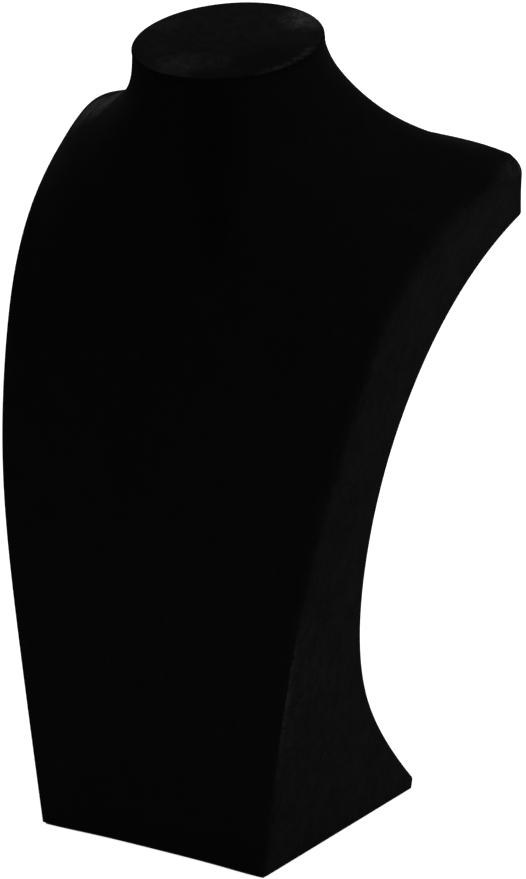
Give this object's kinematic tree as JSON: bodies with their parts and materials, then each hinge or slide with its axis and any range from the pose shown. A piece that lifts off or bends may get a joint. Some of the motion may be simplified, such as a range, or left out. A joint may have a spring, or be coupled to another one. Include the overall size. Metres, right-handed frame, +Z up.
{
  "type": "necklace display bust",
  "caption": "Free-standing necklace display bust: a hollow moulded neck, shoulders and chest covered in black velvet, on a flat base, with an oval neck end and a hollow back.",
  "frame": {"origin": "middle of the base's width and depth, on the table", "axes": "+Z up, -Y towards the front of the bust, +X to the right of a viewer who faces the front"},
  "size_m": [0.2092, 0.1384, 0.351],
  "materials": {
    "moulded_form": "matt moulding",
    "board": "plain grey board",
    "felt": "pressed felt",
    "velvet": "short-pile black velvet"
  },
  "bodies": {
    "root": {"body_form": "moulded_form", "base_board": "board", "base_felt": "felt", "cap_board": "board", "cap_velvet": "velvet", "front_velvet": "velvet", "back_velvet": "velvet", "side_velvet_left": "velvet", "side_velvet_right": "velvet"}
  },
  "joints": []
}
